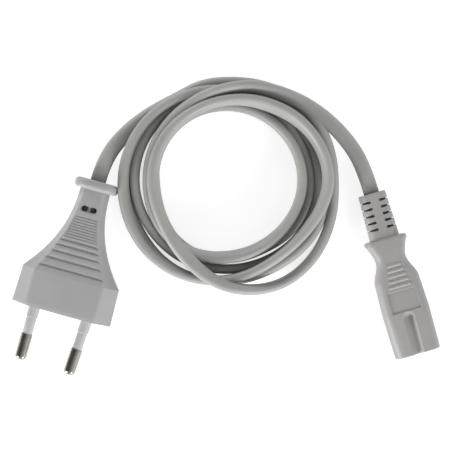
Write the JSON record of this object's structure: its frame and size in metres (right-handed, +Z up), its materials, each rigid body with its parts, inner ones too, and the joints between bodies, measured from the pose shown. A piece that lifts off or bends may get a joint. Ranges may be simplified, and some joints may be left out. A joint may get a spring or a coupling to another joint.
{
  "type": "power cord",
  "caption": "Coiled flat power cord with a moulded round-pin plug and a slim double-barrel appliance connector.",
  "frame": {"origin": "on the table, under the middle of the box round the plug and the connector", "axes": "+Z up from the table; +X along the longest extent, from the plug towards the connector"},
  "size_m": [0.1476, 0.1031, 0.0137],
  "materials": {
    "plug_plastic": "fine satin",
    "bridge_plastic": "satin",
    "nickel": "polished nickel plate",
    "sleeve_plastic": "smooth",
    "core_blue": "smooth",
    "core_brown": "smooth",
    "copper": "bright fine strands",
    "connector_plastic": "fine satin",
    "contact_brass": "bright",
    "cord_jacket": "satin"
  },
  "bodies": {
    "root": {"plug_body": "plug_plastic", "plug_bridge": "bridge_plastic", "pin_left": "nickel", "pin_right": "nickel", "pin_sleeve_left": "sleeve_plastic", "pin_sleeve_right": "sleeve_plastic", "plug_core_left": "core_blue", "plug_core_right": "core_brown", "plug_strands_left": "copper", "plug_strands_right": "copper", "plug_sheath_end": "cord_jacket", "connector_body": "connector_plastic", "connector_carrier": "bridge_plastic", "contact_left": "contact_brass", "contact_right": "contact_brass", "connector_core_left": "core_blue", "connector_core_right": "core_brown", "connector_strands_left": "copper", "connector_strands_right": "copper", "connector_sheath_end": "cord_jacket", "cord_plug_lead": "cord_jacket", "cord_coil": "cord_jacket", "cord_connector_lead": "cord_jacket"}
  },
  "joints": []
}
